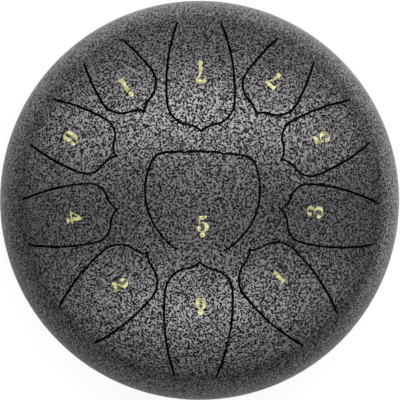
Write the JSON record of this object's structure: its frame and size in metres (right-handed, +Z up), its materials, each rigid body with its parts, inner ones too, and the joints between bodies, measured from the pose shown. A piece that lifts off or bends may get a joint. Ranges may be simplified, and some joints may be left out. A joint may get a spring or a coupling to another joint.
{
  "type": "steel tongue drum",
  "caption": "Round hand drum of two welded steel dishes, with tuned tongues cut free in its domed top, a sound hole below and screwed rubber feet.",
  "frame": {"origin": "on the drum's axis, at the surface that its feet stand on", "axes": "+Z up along the drum's axis; +X to the player's right; +Y away from the player"},
  "size_m": [0.305, 0.305, 0.149],
  "materials": {
    "shell_paint": "dark grey hammered-look paint, light grains between black veins",
    "foot_rubber": "matt black rubber",
    "fastener_zinc": "bright zinc plated steel",
    "numeral_gold": "bright gold foil of the numerals"
  },
  "bodies": {
    "drum": {"upper_shell": "shell_paint", "lower_shell": "shell_paint", "seam_weld": "shell_paint", "foot_rear_right": "foot_rubber", "foot_rear_left": "foot_rubber", "foot_front_left": "foot_rubber", "foot_front_right": "foot_rubber", "foot_screws": "fastener_zinc", "foot_washers": "fastener_zinc", "foot_nuts": "fastener_zinc"},
    "tongue_low_seven": {"tongue_low_seven": "shell_paint"},
    "tongue_seven": {"tongue_seven": "shell_paint"},
    "tongue_five": {"tongue_five": "shell_paint"},
    "tongue_three": {"tongue_three": "shell_paint"},
    "tongue_one": {"tongue_one": "shell_paint"},
    "tongue_low_six": {"tongue_low_six": "shell_paint"},
    "tongue_two": {"tongue_two": "shell_paint"},
    "tongue_four": {"tongue_four": "shell_paint"},
    "tongue_six": {"tongue_six": "shell_paint"},
    "tongue_high_one": {"tongue_high_one": "shell_paint"},
    "tongue_low_five": {"tongue_low_five": "shell_paint"}
  },
  "joints": [
    {"name": "tongue_low_seven_flex", "type": "hinge", "parent": "drum", "child": "tongue_low_seven", "pos_m": [-0.00161, 0.13198, 0.11722], "axis": [0.9999, 0.0122, 0], "range_deg": [-0.345, 0.345], "stiffness_Nm_per_rad": 114.9},
    {"name": "tongue_seven_flex", "type": "hinge", "parent": "drum", "child": "tongue_seven", "pos_m": [0.07074, 0.11147, 0.1172], "axis": [0.8443, -0.5358, 0], "range_deg": [-0.493, 0.493], "stiffness_Nm_per_rad": 161.6},
    {"name": "tongue_five_flex", "type": "hinge", "parent": "drum", "child": "tongue_five", "pos_m": [0.11839, 0.058, 0.11731], "axis": [0.4399, -0.898, 0], "range_deg": [-0.429, 0.429], "stiffness_Nm_per_rad": 153.3},
    {"name": "tongue_three_flex", "type": "hinge", "parent": "drum", "child": "tongue_three", "pos_m": [0.13075, -0.01884, 0.11716], "axis": [-0.1426, -0.9898, 0], "range_deg": [-0.389, 0.389], "stiffness_Nm_per_rad": 122.3},
    {"name": "tongue_one_flex", "type": "hinge", "parent": "drum", "child": "tongue_one", "pos_m": [0.08875, -0.09754, 0.11729], "axis": [-0.7396, -0.673, 0], "range_deg": [-0.356, 0.356], "stiffness_Nm_per_rad": 125.4},
    {"name": "tongue_low_six_flex", "type": "hinge", "parent": "drum", "child": "tongue_low_six", "pos_m": [-0.00438, -0.13201, 0.11717], "axis": [-0.9995, 0.0332, 0], "range_deg": [-0.336, 0.336], "stiffness_Nm_per_rad": 106.6},
    {"name": "tongue_two_flex", "type": "hinge", "parent": "drum", "child": "tongue_two", "pos_m": [-0.09226, -0.09389, 0.11743], "axis": [-0.7133, 0.7009, 0], "range_deg": [-0.383, 0.383], "stiffness_Nm_per_rad": 148.5},
    {"name": "tongue_four_flex", "type": "hinge", "parent": "drum", "child": "tongue_four", "pos_m": [-0.13076, -0.01745, 0.11726], "axis": [-0.1323, 0.9912, 0], "range_deg": [-0.414, 0.414], "stiffness_Nm_per_rad": 142.5},
    {"name": "tongue_six_flex", "type": "hinge", "parent": "drum", "child": "tongue_six", "pos_m": [-0.11863, 0.05709, 0.11742], "axis": [0.4337, 0.9011, 0], "range_deg": [-0.467, 0.467], "stiffness_Nm_per_rad": 179.7},
    {"name": "tongue_high_one_flex", "type": "hinge", "parent": "drum", "child": "tongue_high_one", "pos_m": [-0.07319, 0.10974, 0.11727], "axis": [0.832, 0.5548, 0], "range_deg": [-0.52, 0.52], "stiffness_Nm_per_rad": 181.3},
    {"name": "tongue_low_five_flex", "type": "hinge", "parent": "drum", "child": "tongue_low_five", "pos_m": [-0.00146, -0.03805, 0.14562], "axis": [-0.9993, 0.0384, 0], "range_deg": [-0.397, 0.397], "stiffness_Nm_per_rad": 138.7}
  ]
}
